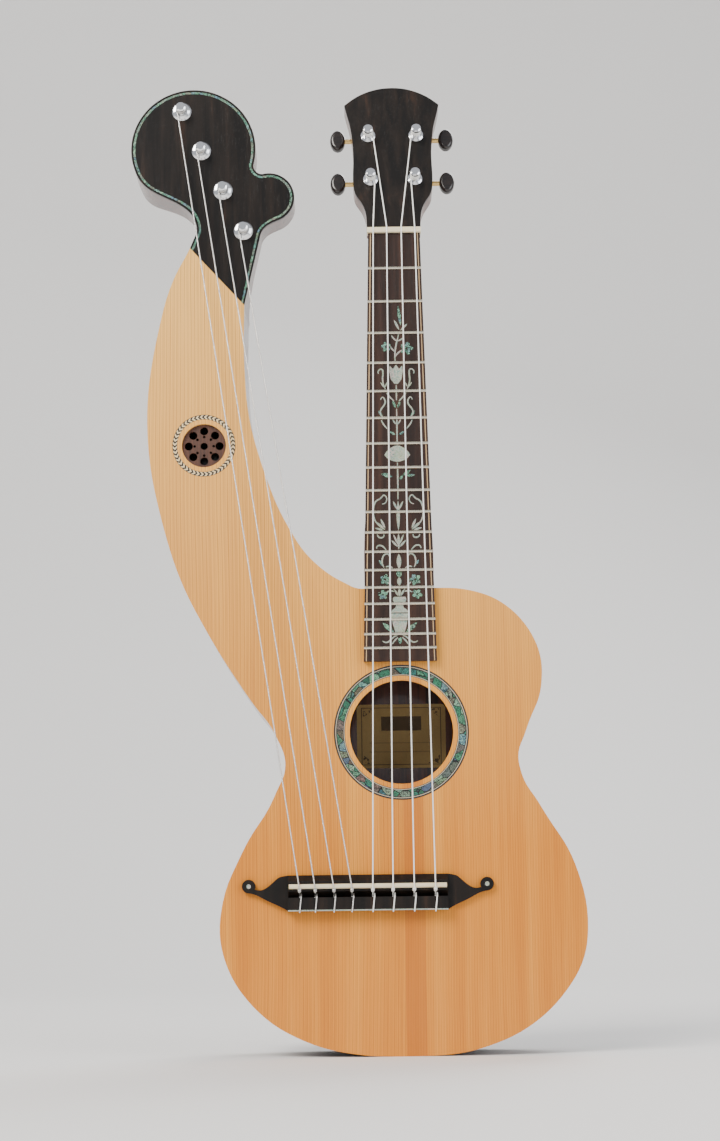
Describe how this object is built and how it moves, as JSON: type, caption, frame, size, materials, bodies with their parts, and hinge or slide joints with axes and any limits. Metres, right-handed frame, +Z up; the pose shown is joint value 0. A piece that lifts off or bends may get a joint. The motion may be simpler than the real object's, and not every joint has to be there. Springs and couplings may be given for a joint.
{
  "type": "harp ukulele",
  "caption": "Small plucked instrument with a guitar-shaped hollow body, a fretted neck with geared tuners, and a hollow arm with its own head for open bass strings.",
  "frame": {"origin": "lowest point of the tail, on the centre line of the stopped strings, halfway through the depth of the rim", "axes": "+Z up the neck, +X to the treble side away from the bass arm, and the soundboard faces -Y"},
  "size_m": [0.2938, 0.0812, 0.6506],
  "materials": {
    "soundboard_wood": "gloss lacquer over straight fine grain, honey orange",
    "dark_wood": "gloss lacquer, dark red-brown striped grain",
    "neck_wood": "gloss lacquer, dark red-brown grain",
    "inner_wood": "bare, pale straight grain",
    "fretboard_wood": "oiled, dark brown fine grain",
    "black_wood": "satin, near black",
    "rim_wood": "satin, reddish brown",
    "line_wood": "tan line",
    "edging": "black and white lines",
    "shell": "iridescent green, blue and pink shell",
    "pearl": "white pearl shell",
    "bone": "cream bone",
    "string": "pale translucent line",
    "wound_string": "silver wound line",
    "fret_wire": "polished, slightly yellow",
    "chrome": "polished",
    "brass": "polished",
    "button": "polished dark",
    "paper": "plain cream paper"
  },
  "bodies": {
    "instrument": {"abalone_inlay": "shell", "arm_grille": "rim_wood", "arm_head": "dark_wood", "arm_head_plate": "black_wood", "arm_head_purfling": "shell", "arm_peg_bushings": "chrome", "arm_rosette": "line_wood", "back": "dark_wood", "back_braces": "inner_wood", "bass_string_1": "wound_string", "bass_string_2": "wound_string", "bass_string_3": "wound_string", "bass_string_4": "wound_string", "bridge": "black_wood", "bridge_pearl": "pearl", "bridge_plate": "inner_wood", "fretboard": "fretboard_wood", "fretboard_lines": "line_wood", "frets": "fret_wire", "headstock_plate": "black_wood", "linings": "inner_wood", "maker_label": "paper", "melody_string_1": "string", "melody_string_2": "string", "melody_string_3": "string", "melody_string_4": "string", "neck": "neck_wood", "neck_block": "inner_wood", "nut": "bone", "pearl_inlay": "pearl", "ribs": "dark_wood", "rosette_purfling": "edging", "rosette_shell": "shell", "saddle": "bone", "soundboard": "soundboard_wood", "tail_block": "inner_wood", "top_braces": "inner_wood", "tuner_bushings": "chrome", "tuner_plates": "chrome", "tuner_screws": "brass"},
    "worm_1": {"tuner_worm_1": "brass", "tuner_button_1": "button"},
    "tuner_1": {"tuner_post_1": "chrome"},
    "worm_2": {"tuner_worm_2": "brass", "tuner_button_2": "button"},
    "tuner_2": {"tuner_post_2": "chrome"},
    "worm_3": {"tuner_worm_3": "brass", "tuner_button_3": "button"},
    "tuner_3": {"tuner_post_3": "chrome"},
    "worm_4": {"tuner_worm_4": "brass", "tuner_button_4": "button"},
    "tuner_4": {"tuner_post_4": "chrome"},
    "bass_peg_1": {"arm_post_1": "chrome", "arm_button_1": "button"},
    "bass_peg_2": {"arm_post_2": "chrome", "arm_button_2": "button"},
    "bass_peg_3": {"arm_post_3": "chrome", "arm_button_3": "button"},
    "bass_peg_4": {"arm_post_4": "chrome", "arm_button_4": "button"}
  },
  "joints": [
    {"name": "tuner_worm_1_turn", "type": "hinge", "parent": "instrument", "child": "worm_1", "pos_m": [-0.015, -0.01047, 0.58334], "axis": [1, 0, 0], "continuous": true},
    {"name": "tuner_post_1_turn", "type": "hinge", "parent": "instrument", "child": "tuner_1", "pos_m": [-0.015, -0.03016, 0.57996], "axis": [0, -0.9781, 0.2079], "continuous": true},
    {"name": "tuner_worm_2_turn", "type": "hinge", "parent": "instrument", "child": "worm_2", "pos_m": [0.015, -0.01047, 0.58334], "axis": [1, 0, 0], "continuous": true},
    {"name": "tuner_post_2_turn", "type": "hinge", "parent": "instrument", "child": "tuner_2", "pos_m": [0.015, -0.03016, 0.57996], "axis": [0, -0.9781, 0.2079], "continuous": true},
    {"name": "tuner_worm_3_turn", "type": "hinge", "parent": "instrument", "child": "worm_3", "pos_m": [-0.0163, -0.0034, 0.6166], "axis": [1, 0, 0], "continuous": true},
    {"name": "tuner_post_3_turn", "type": "hinge", "parent": "instrument", "child": "tuner_3", "pos_m": [-0.0163, -0.02309, 0.61322], "axis": [0, -0.9781, 0.2079], "continuous": true},
    {"name": "tuner_worm_4_turn", "type": "hinge", "parent": "instrument", "child": "worm_4", "pos_m": [0.0163, -0.0034, 0.6166], "axis": [1, 0, 0], "continuous": true},
    {"name": "tuner_post_4_turn", "type": "hinge", "parent": "instrument", "child": "tuner_4", "pos_m": [0.0163, -0.02309, 0.61322], "axis": [0, -0.9781, 0.2079], "continuous": true},
    {"name": "bass_peg_1_turn", "type": "hinge", "parent": "instrument", "child": "bass_peg_1", "pos_m": [-0.14227, -0.035, 0.62771], "axis": [0, -1, 0], "continuous": true},
    {"name": "bass_peg_2_turn", "type": "hinge", "parent": "instrument", "child": "bass_peg_2", "pos_m": [-0.12907, -0.035, 0.59981], "axis": [0, -1, 0], "continuous": true},
    {"name": "bass_peg_3_turn", "type": "hinge", "parent": "instrument", "child": "bass_peg_3", "pos_m": [-0.11457, -0.035, 0.57181], "axis": [0, -1, 0], "continuous": true},
    {"name": "bass_peg_4_turn", "type": "hinge", "parent": "instrument", "child": "bass_peg_4", "pos_m": [-0.10087, -0.035, 0.54351], "axis": [0, -1, 0], "continuous": true}
  ],
  "couplings": [
    {"joint": "tuner_post_1_turn", "follows": "tuner_worm_1_turn", "ratio": 0.071429},
    {"joint": "tuner_post_2_turn", "follows": "tuner_worm_2_turn", "ratio": 0.071429},
    {"joint": "tuner_post_3_turn", "follows": "tuner_worm_3_turn", "ratio": 0.071429},
    {"joint": "tuner_post_4_turn", "follows": "tuner_worm_4_turn", "ratio": 0.071429}
  ]
}
